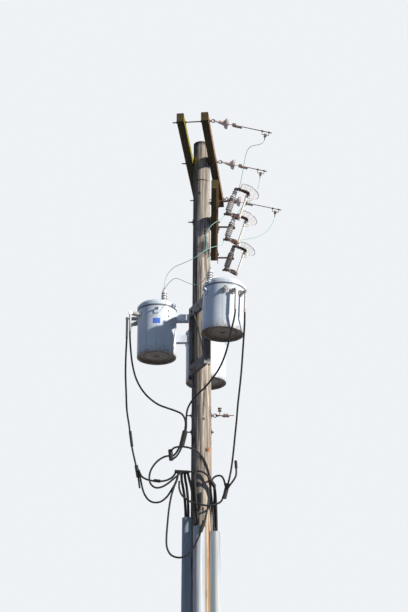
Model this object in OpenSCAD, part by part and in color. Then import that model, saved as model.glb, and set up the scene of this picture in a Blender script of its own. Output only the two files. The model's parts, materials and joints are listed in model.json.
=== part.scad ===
/* [Pole] */
// Height of the pole above the ground
pole_h = 11700; // [10500:100:11900]
// Diameter of the pole at the ground
pole_base_d = 320; // [290:5:350]
// Diameter of the pole at its top
pole_top_d = 218; // [190:2:240]
// Slope of the sawn top, in degrees
pole_top_slope = 4; // [0:1:10]

/* [Crossarms] */
// Length of the two line crossarms
line_arm_len = 2440; // [2000:20:3000]
// Length of the equipment crossarm
equip_arm_len = 2150; // [1900:20:2600]
// Width of a crossarm's section
arm_w = 95; // [80:1:120]
// Height of a crossarm's section
arm_t = 121; // [100:1:150]
// Chamfer along the top edges of a crossarm
arm_chamfer = 8; // [2:1:12]
// Height of the middle of the line crossarms
line_arm_z = 11420; // [11300:10:11450]
// Turn of the line crossarms away from the line of sight, in degrees
line_arm_turn = 5.5; // [0:0.5:10]
// Height of the middle of the equipment crossarm
equip_arm_z = 10510; // [10400:10:10600]
// Distance of the end bolts from a crossarm's end
arm_end_bolt = 130; // [100:5:200]
// Diameter of the crossarm bolts
arm_bolt_d = 16; // [12:1:20]

/* [Dead ends] */
// Turn of the dead ends away from the camera, in degrees
deadend_turn = 10; // [0:1:20]
// Droop of the dead ends, in degrees
deadend_droop = 8; // [0:1:15]
// Diameter of the insulator's skirt
skirt_d = 150; // [120:2:180]
// Diameter of the line conductor
conductor_d = 12; // [8:1:16]
// Length of each conductor's tail past its clamp, by dead end
conductor_tails = [400, 270, 420];

/* [Cutouts] */
// Places of the three cutouts along the equipment crossarm
cutout_places = [-550, 200, 1000];
// Lean of a cutout outward, in degrees
cutout_lean = 18; // [10:1:25]
// Length of a cutout's porcelain
porcelain_len = 340; // [300:5:380]
// Diameter of the porcelain's sheds
shed_d = 88; // [70:2:110]
// Diameter of the fuse tube
fuse_tube_d = 27; // [20:1:34]
// Distance from the porcelain's axis to the fuse tube's axis
fuse_reach = 165; // [150:1:190]
// Distance from the cutout's middle to the crossarm's face
cutout_stand = 175; // [150:2:210]
// How far each cutout sits below the first one's height
cutout_drops = [0, 0, 80];
// Length of the perforated guard, from its hinge bar to its round end
guard_len = 265; // [240:5:280]
// Width of the perforated guard
guard_w = 300; // [280:5:330]

/* [Transformers] */
// Diameter and height of the left tank
left_tank_size = [508, 700];
// Diameter and height of the front tank
front_tank_size = [528, 640];
// Diameter and height of the back tank
back_tank_size = [545, 730];
// Height of the underside of the tanks
tank_z = 8550; // [8450:10:8650]
// Lean of the front tank, in degrees
front_tank_lean = 2.5; // [0:0.5:4]
// Height of the band around a tank's lid
lid_band_h = 46; // [36:2:60]
// How far the lid stands out past the tank wall
lid_overhang = 7; // [4:1:12]
// Diameter of the high-voltage bushing's sheds
hv_shed_d = 88; // [70:2:110]

/* [Cluster mount] */
// Width of a mounting channel
channel_w = 100; // [80:2:120]
// Depth of a mounting channel
channel_t = 48; // [40:1:60]
// Thickness of a mounting channel's walls
channel_wall = 8; // [6:1:10]
// Height of the upper arms of the cluster mount
upper_arm_z = 9150; // [9000:10:9200]
// Height of the lower arms of the cluster mount
lower_arm_z = 8345; // [8300:5:8400]

/* [Risers] */
// Heights of the three cable guards: left, middle and right
guard_tops = [6430, 6280, 6245];
// Widths of the three cable guards
guard_widths = [112, 142, 132];
// Depth of a cable guard
guard_depth = 116; // [90:2:130]
// Wall of a cable guard
guard_wall = 4; // [3:0.5:6]
// Diameter of the secondary cables
cable_d = 24; // [18:1:30]
// Diameter of the cables that go down into the cable guards
riser_d = 34; // [24:1:38]
// Diameter of the bare copper leads
lead_d = 7; // [5:1:10]

/* [Hidden] */

$fn = 48;
// Clearance between pieces that seat on each other
seat = 0.3;
// Clearance of a bolt in its hole, all round
bolt_clear = 0.9;
// A cut runs this far past the faces that it opens
past = 5;

// Diameter of the pole at a height
function pole_r(z) = (pole_base_d + (pole_top_d - pole_base_d) * z / pole_h) / 2;

// Sideways places of the crossarms, so that each one seats against the pole
line_arm_x = pole_r(line_arm_z - arm_t / 2) + seat + arm_w / 2;
gain_t = 12;
equip_arm_x = pole_r(equip_arm_z - arm_t / 2) + seat + gain_t + seat + arm_w / 2;
end_bolt_y = line_arm_len / 2 - arm_end_bolt;
bolt_places = [-end_bolt_y, 0, end_bolt_y];

// Cluster mount: ends of its upright channels and seat of its arms beside the pole
bracket_z0 = 8270;
bracket_z1 = 9220;
bracket_r = pole_r(bracket_z0) + seat;
arm_h = 130;
wing_offset = bracket_r + channel_t / 2;
// Heights of the neutral's eye bolt and of the bolt below it
neutral_z = 7765;
lower_bolt_z = 7545;

wood = "#7a6653";
pole_wood = "#b3a18d";
galvanised = "#6d6862";
porcelain_grey = "#b9b8b6";
tank_paint = "#a9b1ba";
copper_green = "#9fc4bd";
cable_black = "#1b1a1a";

module in_arm_frame() {
    translate([0, 0, line_arm_z]) rotate([0, 0, -line_arm_turn]) children();
}

// A rod along X from a to b
module rod_x(a, b, d) {
    translate([a, 0, 0]) rotate([0, 90, 0]) cylinder(d = d, h = b - a);
}

module pole() {
    color(pole_wood) difference() {
        cylinder(d1 = pole_base_d, d2 = pole_top_d, h = pole_h, $fn = 96);
        translate([0, 0, pole_h]) rotate([0, pole_top_slope, 0])
            translate([-pole_base_d, -pole_base_d, 0]) cube(pole_base_d * 2);
        in_arm_frame() rod_x(-pole_top_d, pole_top_d, arm_bolt_d + 2 * bolt_clear);
        translate([0, 0, equip_arm_z])
            rod_x(-pole_top_d, pole_top_d, arm_bolt_d + 2 * bolt_clear);
        for (z = [neutral_z, lower_bolt_z]) translate([0, 0, z])
            rod_x(-pole_base_d, pole_base_d, arm_bolt_d + 2 * bolt_clear);
    }
}

// Outline of a crossarm's section, with its top edges taken off
module arm_section() {
    polygon([[-arm_w / 2, -arm_t / 2], [arm_w / 2, -arm_t / 2],
             [arm_w / 2, arm_t / 2 - arm_chamfer], [arm_w / 2 - arm_chamfer, arm_t / 2],
             [arm_chamfer - arm_w / 2, arm_t / 2], [-arm_w / 2, arm_t / 2 - arm_chamfer]]);
}

// A crossarm along Y, bored across for its bolts and upright for insulator pins
module arm(len, bolts, pins) {
    difference() {
        rotate([90, 0, 0]) translate([0, 0, -len / 2]) linear_extrude(len) arm_section();
        for (y = bolts) translate([0, y, 0])
            rod_x(-arm_w, arm_w, arm_bolt_d + 2 * bolt_clear);
        for (y = pins) translate([0, y, -arm_t])
            cylinder(r = pin_hole_r, h = 2 * arm_t);
    }
}

// Spare pin holes of the crossarms
pin_hole_r = 8.75;
pin_places = [-410, 410];

module crossarm_left() {
    color(wood) in_arm_frame() translate([-line_arm_x, 0, 0])
        arm(line_arm_len, bolt_places, pin_places);
}

module crossarm_right() {
    color(wood) in_arm_frame() translate([line_arm_x, 0, 0])
        arm(line_arm_len, bolt_places, pin_places);
}

washer_t = 5;
washer_w = 57;
nut_w = 26;
nut_t = 14;
stub = 60;
eye_r = 22;
eye_wire = 6;

// A square washer and a nut on a bolt along X, outward from x towards the side given
module nut_and_washer(x, side) {
    translate([x, 0, 0]) rotate([0, side * 90, 0]) {
        translate([-washer_w / 2, -washer_w / 2, 0]) cube([washer_w, washer_w, washer_t]);
        cylinder(d = nut_w / cos(30), h = washer_t + nut_t, $fn = 6);
    }
}

arm_face = line_arm_x + arm_w / 2 + seat;
inner_face = line_arm_x - arm_w / 2 - seat;
eye_x = arm_face + washer_t + nut_t + 10 + eye_r;

// The ring of an eye nut, standing in the X and Z plane
module eye_ring() {
    rotate([90, 0, 0]) rotate_extrude() translate([eye_r, 0]) circle(r = eye_wire);
}

module arming_bolt(between) {
    rod_x(-arm_face - washer_t - stub, arm_face + washer_t + nut_t + 12, arm_bolt_d);
    nut_and_washer(-arm_face, -1);
    nut_and_washer(arm_face, 1);
    if (between) {
        nut_and_washer(-inner_face, 1);
        nut_and_washer(inner_face, -1);
    }
    translate([eye_x, 0, 0]) eye_ring();
}

module crossarm_bolts() {
    color(galvanised) in_arm_frame() for (y = bolt_places) translate([0, y, 0])
        arming_bolt(y != 0);
}

module equipment_arm() {
    color(wood) translate([equip_arm_x, 0, equip_arm_z]) difference() {
        arm(equip_arm_len, [0], [90 - equip_arm_len / 2]);
        for (y = cutout_places, dy = strap_bolts) translate([0, y + dy, 0])
            rod_x(-arm_w, arm_w, strap_bolt_d + 2 * bolt_clear);
    }
}

// The through bolt of the equipment crossarm with the gain plate that it squeezes
module equipment_arm_bolts() {
    face = equip_arm_x + arm_w / 2 + seat;
    back = -pole_r(equip_arm_z - washer_w) - seat;
    color(galvanised) translate([0, 0, equip_arm_z]) {
        rod_x(back - washer_t - stub, face + washer_t + nut_t + 12, arm_bolt_d);
        nut_and_washer(face, 1);
        nut_and_washer(back, -1);
        translate([equip_arm_x - arm_w / 2 - seat - gain_t, -50, -arm_t / 2])
            cube([gain_t, 100, arm_t]);
    }
}

// Dead ends: a frame that starts at the wire of each eye and runs along the insulator
module in_deadend_frame(k) {
    in_arm_frame() translate([eye_x, bolt_places[k], 0]) rotate([0, deadend_droop, 0])
        translate([eye_r, 0, 0]) rotate([0, 0, line_arm_turn + deadend_turn]) children();
}

link_r = 20;
link_clear = 0.9;
link_x = link_r - 2 * eye_wire - link_clear;
rod_start = link_x + link_r;
skirt_x = rod_start + 95;
skirt_len = 52;
rod_end = skirt_x + skirt_len + 26;
clamp_x = rod_end + 50;
clamp_len = 115;

// The flat link through the eye
module deadend_link() {
    translate([link_x, 0, 0]) rotate_extrude() translate([link_r, 0]) circle(r = eye_wire);
}

// Profile of the insulator: fitting, tapered body, flared skirt and end fitting
module insulator_profile() {
    polygon([[0, rod_start + 2], [14, rod_start + 2], [16, rod_start + 22], [22, rod_start + 30],
             [33, skirt_x - 12], [34, skirt_x], [skirt_d / 2 - 6, skirt_x + 22],
             [skirt_d / 2, skirt_x + skirt_len], [skirt_d / 2 - 5, skirt_x + skirt_len],
             [skirt_d / 2 - 12, skirt_x + 30], [24, skirt_x + 24], [22, skirt_x + skirt_len],
             [16, rod_end - 14], [12, rod_end], [0, rod_end]]);
}

module deadend_insulators() {
    color(porcelain_grey) for (k = [0:2]) in_deadend_frame(k) {
        deadend_link();
        rotate([0, 90, 0]) rotate_extrude() insulator_profile();
        rod_x(rod_end - 4, clamp_x - 12, 14);
        translate([clamp_x - 22, -7, -16]) cube([12, 14, 32]);
    }
}

// The clamp that grips the conductor, with the stirrup and its hot-line clamp
module deadend_clamp(tail) {
    grip_end = clamp_x + clamp_len;
    difference() {
        union() {
            translate([clamp_x - 9.7, -16, -20]) cube([24, 32, 40]);
            translate([clamp_x, -13, -22]) cube([clamp_len, 26, 34]);
            for (x = [26, 60, 94]) translate([clamp_x + x, 0, -34]) cylinder(d = 12, h = 60);
        }
        translate([clamp_x + 30, -20, 2]) rotate([0, 14, 0]) cube([clamp_len, 40, 90]);
    }
    rod_x(clamp_x + 10, grip_end + tail, conductor_d);
    stirrup_x = grip_end + tail - 130;
    rod_x(stirrup_x - 12, stirrup_x + 12, 24);
    rod_x(stirrup_x + 78, stirrup_x + 102, 24);
    translate([stirrup_x, 0, 0]) stirrup(90);
}

stirrup_drop = 48;
stirrup_wire = 8;

// A rigid bail under the conductor, with the jumper's clamp on it
module stirrup(w) {
    for (x = [0, w]) translate([x, 0, -stirrup_drop])
        cylinder(d = stirrup_wire, h = stirrup_drop);
    for (x = [0, w]) translate([x, 0, -stirrup_drop]) sphere(d = stirrup_wire, $fn = 24);
    translate([0, 0, -stirrup_drop]) rod_x(0, w, stirrup_wire);
    translate([w / 2 - 16, -14, -stirrup_drop - 30]) cube([32, 28, 42]);
    translate([w / 2, 0, -stirrup_drop - 78]) cylinder(d = 12, h = 60);
}

module deadend_clamps() {
    color(galvanised) for (k = [0:2]) in_deadend_frame(k) deadend_clamp(conductor_tails[k]);
}

// Cutouts: a frame at the middle of the porcelain, leaning outward from the crossarm
cutout_x = equip_arm_x + arm_w / 2 + cutout_stand;
cutout_z = equip_arm_z + 28;
strap_bolts = [-22, 22];
strap_bolt_d = 12;

module in_cutout_frame(k) {
    translate([cutout_x, cutout_places[k], cutout_z - cutout_drops[k]])
        rotate([0, cutout_lean, 0]) children();
}

shed_count = 5;
neck_sheds = 3;
collar_h = 38;
core_d = 56;

// Half of the porcelain from the collar out, its last sheds narrower towards the cap
module shed_stack(neck) {
    wide = shed_count - neck;
    pitch = (porcelain_len / 2 - collar_h / 2 - 14) / shed_count;
    rotate_extrude() polygon(concat([[0, 0], [core_d / 2, 0], [core_d / 2, collar_h / 2 + 4]],
        [for (i = [0:shed_count - 1]) each let (z = collar_h / 2 + 4 + i * pitch,
            r = i < wide ? shed_d / 2 : shed_d / 2 - 12, root = i < wide ? core_d / 2 : core_d / 2 - 4)
            [[root, z], [r - 4, z], [r, z + 4], [r - 2, z + pitch * 0.34],
             [root + 1, z + pitch * 0.72]]],
        [[core_d / 2 - 6, porcelain_len / 2 - 4], [core_d / 2 - 10, porcelain_len / 2],
         [0, porcelain_len / 2]]));
}

module cutout_insulator(k) {
    color(porcelain_grey) in_cutout_frame(k) {
        shed_stack(neck_sheds);
        mirror([0, 0, 1]) shed_stack(0);
    }
}

cap_h = 30;
cap_z = porcelain_len / 2 + seat;
hinge_z = -porcelain_len / 2 - 42;
pivot_d = 12;
pivot_clear = 0.3;
ear_gap = 44;
ear_t = 6;
contact_z = porcelain_len / 2 - 30;
plate_top = cap_z + cap_h;

// Metal of a cutout: crossarm strap, top contact and bottom hinge
module cutout_frame(k) {
    color(galvanised) {
        in_cutout_frame(k) {
            top_contact();
            bottom_hinge();
        }
        strap(k);
    }
}

module strap(k) {
    face = equip_arm_x + arm_w / 2 + seat;
    near = equip_arm_x - arm_w / 2 - seat;
    y = cutout_places[k];
    drop = cutout_drops[k];
    translate([face, y - 36, equip_arm_z - 50 - drop]) cube([8, 72, 100 + drop]);
    for (dy = strap_bolts) translate([0, y + dy, equip_arm_z]) {
        rod_x(near - 34, face + 22, strap_bolt_d);
        translate([face + 6, 0, 0]) rod_x(0, 12, 22);
        translate([near - 13, 0, 0]) rotate([0, 90, 0])
            cylinder(d = 20 / cos(30), h = 11, $fn = 6);
        rod_x(near - 4, near, 38);
    }
    difference() {
        union() {
            translate([face + 4, y - 20, cutout_z - drop - 4]) cube([cutout_stand - 4, 40, 8]);
            in_cutout_frame(k) collar();
        }
        in_cutout_frame(k) {
            translate([0, 0, -past - 60]) cylinder(d = core_d + 2 * seat, h = 130);
            translate([core_d / 2 - 3, -2, -16]) cube([40, 4, 32]);
        }
    }
}

// The split collar round the porcelain, with its clamping bolt
module collar() {
    translate([0, 0, -15]) cylinder(d = core_d + 26, h = 30);
    translate([core_d / 2 + 6, -12, -15]) cube([26, 24, 30]);
    translate([core_d / 2 + 20, 0, 0]) rotate([90, 0, 0])
        cylinder(d = 12, h = 52, center = true);
}

module top_contact() {
    difference() {
        union() {
            translate([0, 0, cap_z]) cylinder(d = core_d - 2, h = 16);
            translate([0, 0, cap_z]) cylinder(d = core_d - 12, h = cap_h);
        }
        translate([0, 0, cap_z - past]) cylinder(d = 20, h = past + 6);
    }
    translate([10, -24, plate_top - 12]) cube([guard_root[0], 48, 12]);
    translate([terminal_x, -13, plate_top - 6]) cube([22, 26, terminal_top - plate_top + 6]);
    translate([terminal_x + 11, 0, terminal_top - 12]) rotate([90, 0, 0])
        cylinder(d = 10, h = 44, center = true);
    for (side = [-1, 1]) contact_arm(side);
    translate([0, -24, 0]) rotate([-90, 0, 0]) linear_extrude(48) contact_hood();
    translate([fuse_reach, 0, contact_z + 10]) cylinder(d1 = 22, d2 = 34, h = 39);
    for (side = [-1, 1]) translate([fuse_reach + 4, side * 30, contact_z + 16]) hook(side);
}

terminal_x = 21;
terminal_top = plate_top + 18;

// Side plate of the top contact: it steps down from the cap to the contact
module contact_arm(side) {
    translate([0, side * 21 - 3, 0]) rotate([-90, 0, 0]) linear_extrude(6)
        polygon([[40, -plate_top], [62, -plate_top], [104, -contact_z - 62],
                 [fuse_reach + 6, -contact_z - 52], [fuse_reach + 28, -contact_z - 36],
                 [fuse_reach + 28, -contact_z - 8], [fuse_reach + 18, -contact_z - 8],
                 [fuse_reach + 8, -contact_z - 28], [104, -contact_z - 40],
                 [60, -plate_top + 16], [40, -plate_top + 12]]);
}

// The bent spring plate over the contact
module contact_hood() {
    polygon([[104, -contact_z - 62], [fuse_reach + 6, -contact_z - 52],
             [fuse_reach + 28, -contact_z - 36], [fuse_reach + 24, -contact_z - 30],
             [fuse_reach + 4, -contact_z - 45], [104, -contact_z - 55]]);
}

// A hook for a load-break tool beside the top contact
module hook(side) {
    rotate([90, 0, 0]) rotate_extrude(angle = 250) translate([17, 0]) circle(r = 4.5);
    translate([17, 0, 0]) rotate([side * 90, 0, 0]) cylinder(r = 4.5, h = 10);
}

module bottom_hinge() {
    difference() {
        union() {
            translate([0, 0, -cap_z - 16]) cylinder(d = core_d - 2, h = 16);
            translate([0, 0, -cap_z - cap_h]) cylinder(d = core_d - 12, h = cap_h);
        }
        translate([0, 0, -cap_z - 6]) cylinder(d = 20, h = past + 6);
    }
    for (side = [-1, 1]) difference() {
        translate([0, side * (ear_gap / 2 + ear_t / 2) - ear_t / 2, 0])
            rotate([-90, 0, 0]) linear_extrude(ear_t) hinge_ear();
        translate([fuse_reach, side * ear_gap, hinge_z]) rotate([90, 0, 0])
            cylinder(d = pivot_d + 2 * pivot_clear, h = 3 * ear_gap, center = true);
    }
    translate([0, -ear_gap / 2 - ear_t, -cap_z - cap_h]) cube([34, ear_gap + 2 * ear_t, 14]);
    translate([92, 0, -cap_z - 13]) rotate([90, 0, 0])
        cylinder(d = 9, h = ear_gap + 2 * ear_t + 16, center = true);
    translate([-44, -13, -cap_z - cap_h - 14]) cube([64, 26, 16]);
    translate([-31, 0, -cap_z - cap_h - 26]) cylinder(d = 11, h = 34);
    translate([-31, 0, -cap_z - cap_h - 22]) cylinder(d = 20 / cos(30), h = 9, $fn = 6);
}

// Outline of a hinge ear, from the cap down to the round eye of the pivot
module hinge_ear() {
    difference() {
        union() {
            polygon([[0, cap_z + 16], [0, cap_z + cap_h], [40, cap_z + cap_h],
                     [fuse_reach - 34, -hinge_z + 12], [fuse_reach, -hinge_z + 17],
                     [fuse_reach + 16, -hinge_z - 6], [fuse_reach - 10, -hinge_z - 15],
                     [fuse_reach - 34, cap_z + 2], [60, cap_z + 2]]);
            translate([fuse_reach, -hinge_z]) circle(r = 17);
        }
        translate([62, cap_z + 17]) circle(r = 7);
    }
}

ferrule_h = 84;
ferrule_r = fuse_tube_d / 2 + 4.5;
tube_top = contact_z + 4;

// The fuse tube with its trunnion below and its pull ring above
module fuse_holder(k) {
    color("#d9d0bb") in_cutout_frame(k) translate([fuse_reach, 0, 0]) {
        translate([0, 0, hinge_z + 20]) cylinder(d = fuse_tube_d, h = tube_top - hinge_z - 20);
        translate([0, 0, hinge_z]) rotate([90, 0, 0])
            cylinder(d = pivot_d, h = ear_gap + 2 * ear_t + 8, center = true);
        translate([0, 0, hinge_z]) rotate([90, 0, 0])
            cylinder(d = 26, h = ear_gap - 4, center = true);
        rotate_extrude() polygon([[0, hinge_z - 26], [9, hinge_z - 26], [12, hinge_z - 18],
            [ferrule_r, hinge_z - 10], [ferrule_r, hinge_z + 36], [ferrule_r - 2, hinge_z + 38],
            [ferrule_r - 2, hinge_z + 42], [ferrule_r, hinge_z + 44], [0, hinge_z + 44]]);
        rotate_extrude() polygon([[0, tube_top - ferrule_h], [ferrule_r, tube_top - ferrule_h],
            [ferrule_r, tube_top - 50], [ferrule_r - 3, tube_top - 47],
            [ferrule_r - 3, tube_top - 34], [ferrule_r + 2, tube_top - 31],
            [ferrule_r + 2, tube_top - 12], [ferrule_r - 2, tube_top - 8],
            [9, tube_top], [0, tube_top]]);
        translate([8, -4, tube_top - 64]) cube([fuse_tube_d / 2 + 8, 8, 26]);
        translate([fuse_tube_d / 2 + 26, 0, tube_top - 51]) pull_ring();
    }
}

ring_r = 19;
ring_wire = 5;

module pull_ring() {
    rotate([90, 0, 0]) rotate_extrude() translate([ring_r, 0]) circle(r = ring_wire);
}

guard_t = 4;
guard_rim = 16;
// Droop of a guard below the level and its turn away from the camera, in degrees
guard_tilt = 27;
guard_turn = 11;
// Middle of a guard's hinge bar in its cutout's frame
guard_root = [55, plate_top + 25];
guard_bar = 196;
// Slots of a guard: size of each and the steps from one to the next
guard_slot = [13, 30];
guard_step = [24, 42];

// The perforated shields over the top contacts, each on a flat bar with a foot
module cutout_guards() {
    color("#eeeeea") for (k = [0:2]) {
        in_cutout_frame(k) translate([guard_root[0] - 6, -22, plate_top + seat])
            cube([12, 44, guard_root[1] - plate_top]);
        in_cutout_frame(k) translate([guard_root[0], 0, guard_root[1]])
            rotate([0, -cutout_lean, 0]) rotate([0, 0, guard_turn]) rotate([0, guard_tilt, 0]) {
                translate([-8, -guard_bar / 2, -4]) cube([16, guard_bar, 9]);
                for (y = [-guard_bar / 2 + 16, guard_bar / 2 - 16]) translate([0, y, -8])
                    cylinder(d = 12, h = 18);
                guard_dish();
            }
    }
}

// A shallow, slotted dish, open upward
module guard_dish() {
    difference() {
        linear_extrude(guard_rim) guard_shape(0);
        translate([0, 0, guard_t]) linear_extrude(guard_rim) guard_shape(guard_t);
        translate([0, 0, -past]) linear_extrude(guard_t + 2 * past) intersection() {
            guard_shape(12);
            for (x = [22:guard_step[0]:guard_len], j = [-3:3])
                translate([x, j * guard_step[1] - guard_slot[1] / 2]) square(guard_slot);
        }
    }
}

// Outline of a guard: round, cut straight along its hinge bar
module guard_shape(inset) {
    intersection() {
        translate([guard_len - guard_w / 2, 0]) circle(r = guard_w / 2 - inset);
        translate([inset, -guard_w]) square([2 * guard_len, 2 * guard_w]);
    }
}

// Tanks: each one's place, turn towards its bracket and size
tank_left_at = [-579, 0];
tank_front_at = [261, -800];
tank_back_at = [60, 930];
front_column_at = [62, -500];
back_column_at = [0, 570];

function toward(a, b) = atan2(b[1] - a[1], b[0] - a[0]);

left_turn = 0;
front_turn = toward(tank_front_at, front_column_at);
back_turn = toward(tank_back_at, back_column_at);

rim_drop = 26;
rim_wall = 14;

// Half section of a tank: wall, rolled foot and dished, ringed bottom
module tank_profile(r, h) {
    polygon([[0, rim_drop + 22], [0, rim_drop + 10], [26, rim_drop + 10], [40, rim_drop],
             [r * 0.62, rim_drop], [r * 0.66, rim_drop + 8], [r * 0.7, rim_drop],
             [r - rim_wall - 14, rim_drop], [r - rim_wall, rim_drop - 12], [r - rim_wall, 0],
             [r, 0], [r, h], [0, h]]);
}

// Body of a tank, with its two lifting lugs and its grounding pads
module tank(size) {
    wall = size[0] / 2;
    rim = size[1] - lid_band_h - seat;
    rotate_extrude($fn = 96) tank_profile(wall, rim);
    for (turn = [-90, 90]) rotate([0, 0, turn]) translate([wall - 4, 0, rim - 130])
        lifting_lug();
    for (z = [rim - 150, rim - 75]) rotate([0, 0, -52]) translate([0, 0, z])
        rod_x(wall - 10, wall + 16, 22);
}

// A bent lug on the wall, with an eye in its lip
module lifting_lug() {
    difference() {
        translate([0, 26, 0]) rotate([90, 0, 0]) linear_extrude(52)
            polygon([[0, 0], [14, 0], [14, 42], [48, 66], [48, 78], [38, 78], [0, 54]]);
        translate([30, 0, 30]) cylinder(d = 20, h = 60);
    }
}

// The two hangers of a tank, towards its bracket along +X
module hangers(size, gap) {
    for (z = [hanger_low - tank_z, hanger_high - tank_z]) hanger(size[0] / 2, gap, z);
}

hanger_low = 8805;
hanger_high = 9100;
hanger_h = 96;
hanger_w = 64;
// A hanger starts this deep inside the wall, so that a leaning tank still carries it
hanger_root = 45;

// A welded hanger: two cheeks and a pad against the channel
module hanger(r, gap, z) {
    translate([r - hanger_root, 0, z]) {
        for (side = [-1, 1]) translate([0, side * hanger_w / 2 - 4, -hanger_h / 2])
            cube([gap + hanger_root - seat, 8, hanger_h]);
        translate([gap + hanger_root - seat - 10, -hanger_w / 2 - 4, -hanger_h / 2])
            cube([10, hanger_w + 8, hanger_h]);
    }
}

// Distance from a tank's wall to the face of its channel
function hanger_gap(tank_at, face_at, d) = norm([face_at[0] - tank_at[0], face_at[1] - tank_at[1]]) - d / 2;

left_face = sqrt(pow(bracket_r, 2) - pow(channel_w / 2 - channel_wall, 2)) + channel_t;
left_gap = -tank_left_at[0] - left_tank_size[0] / 2 - left_face;
front_gap = hanger_gap(tank_front_at, front_column_at, front_tank_size[0]) - channel_t / 2;
back_gap = hanger_gap(tank_back_at, back_column_at, back_tank_size[0]) - channel_t / 2;

// Moves a tank's pieces to its place, turned towards its bracket
module at_tank(place, turn, lean = 0) {
    translate([place[0], place[1], tank_z]) rotate([0, lean, 0]) rotate([0, 0, turn]) children();
}

module tank_left() {
    color(tank_paint) at_tank(tank_left_at, left_turn) {
        tank(left_tank_size);
        hangers(left_tank_size, left_gap);
    }
}

module tank_front() {
    color(tank_paint) {
        at_tank(tank_front_at, front_turn, front_tank_lean) tank(front_tank_size);
        at_tank(tank_front_at, front_turn) hangers(front_tank_size, front_gap);
    }
}

module tank_back() {
    color(tank_paint) at_tank(tank_back_at, back_turn) {
        tank(back_tank_size);
        hangers(back_tank_size, back_gap);
    }
}

module lid_left() {
    color(tank_paint) at_tank(tank_left_at, left_turn) lid(left_tank_size, -34);
}

module lid_front() {
    color(tank_paint) at_tank(tank_front_at, front_turn, front_tank_lean) lid(front_tank_size, 100);
}

module lid_back() {
    color(tank_paint) at_tank(tank_back_at, back_turn) lid(back_tank_size, 150);
}

module bushings_left() {
    color(porcelain_grey) at_tank(tank_left_at, left_turn)
        bushings(left_tank_size, 0, 90, [150, 180, 210], 112, [10, 250, 250]);
}

module bushings_front() {
    color(porcelain_grey) at_tank(tank_front_at, front_turn, front_tank_lean)
        bushings(front_tank_size, 44.4, 190, [148.4, 171.4, 196.4], 56, [10, 265, 265]);
}

module bushings_back() {
    color(porcelain_grey) at_tank(tank_back_at, back_turn)
        bushings(back_tank_size, -17, 90, [152, 180, 208], 80, [10, 10, 10]);
}

lid_rise = 26;

// A domed lid with its rolled band, resting on the tank's top
module lid(size, clamp_at) {
    r = size[0] / 2;
    h = size[1];
    translate([0, 0, h - lid_band_h]) rotate_extrude($fn = 96)
        polygon([[0, 0], [r + lid_overhang - 2, 0], [r + lid_overhang, 4],
                 [r + lid_overhang, lid_band_h - 10], [r + lid_overhang - 8, lid_band_h],
                 [r - 10, lid_band_h], [r - 20, lid_band_h - 6], [r - 24, lid_band_h + lid_rise],
                 [0, lid_band_h + lid_rise]]);
    rotate([0, 0, clamp_at]) translate([r + lid_overhang - 4, 0, h - lid_band_h + 6]) lid_clamp();
}

// The bolted ends of the lid's clamping band
module lid_clamp() {
    for (y = [-28, 14]) translate([0, y, 0]) cube([30, 14, lid_band_h - 14]);
    translate([18, 0, (lid_band_h - 14) / 2]) rotate([90, 0, 0])
        cylinder(d = 12, h = 96, center = true);
    translate([18, -28, (lid_band_h - 14) / 2]) rotate([90, 0, 0])
        cylinder(d = 20 / cos(30), h = 10, $fn = 6);
}

hv_len = 215;
hv_sheds = 5;
hv_pitch = 36;
hv_neck_r = 27;

// High-voltage bushing: flange, sheds, cap, stud and clamp
module hv_bushing() {
    cylinder(d = 104, h = 12);
    rotate_extrude() polygon(concat([[0, 11], [40, 11], [40, 22], [hv_neck_r, 28]],
        [for (i = [0:hv_sheds - 1]) each let (z = 34 + i * hv_pitch, r = hv_shed_d / 2 - i * 1.5)
            [[hv_neck_r, z], [r - 4, z - 3], [r, z + 2], [r - 3, z + 13], [hv_neck_r, z + 24]]],
        [[hv_neck_r, hv_len + 2], [22, hv_len + 10], [0, hv_len + 10]]));
    translate([0, 0, hv_len + 8]) cylinder(d1 = 38, d2 = 30, h = 14);
    translate([0, 0, hv_len + 20]) cylinder(d = 12, h = 34);
    translate([-11, -14, hv_len + 28]) cube([22, 28, 18]);
    translate([-16, 0, hv_len + 37]) rod_x(0, 34, 9);
    for (a = [0:3]) rotate([0, 0, 45 + 90 * a]) translate([43, 0, 8])
        cylinder(d = 13, h = 9, $fn = 6);
}

lv_z_drop = 150;
lug_d = 30;

// Low-voltage bushing standing out of the tank's wall along +X
module lv_bushing(r, lv_len, drop) {
    difference() {
        union() {
            rod_x(r - 12, r + 16, 84);
            rod_x(r + 10, r + lv_len, 40);
            for (x = [r + 24:18:r + lv_len - 16]) translate([x, 0, 0]) rotate([0, 90, 0])
                cylinder(d1 = 62, d2 = 44, h = 14);
            rod_x(r + lv_len - 4, r + lv_len + 44, 16);
            translate([r + lv_len + 8, -15, -17]) cube([34, 30, 34]);
            translate([r + lv_len + 25, 0, -17 - drop]) cylinder(d = lug_d, h = drop + 2);
        }
        translate([0, 0, -300]) cylinder(r = r + seat, h = 600, $fn = 96);
    }
}

// Bushings of one tank: the high-voltage one on the lid, the others round the wall
module bushings(size, hv_angle, hv_place, lv_angles, lv_len, drops) {
    r = size[0] / 2;
    rotate([0, 0, hv_angle]) translate([hv_place, 0, size[1] + lid_rise + seat])
        hv_bushing();
    for (i = [0:2]) rotate([0, 0, lv_angles[i]]) translate([0, 0, size[1] - lv_z_drop])
        lv_bushing(r, lv_len, drops[i]);
}

// Cluster mount

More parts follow.
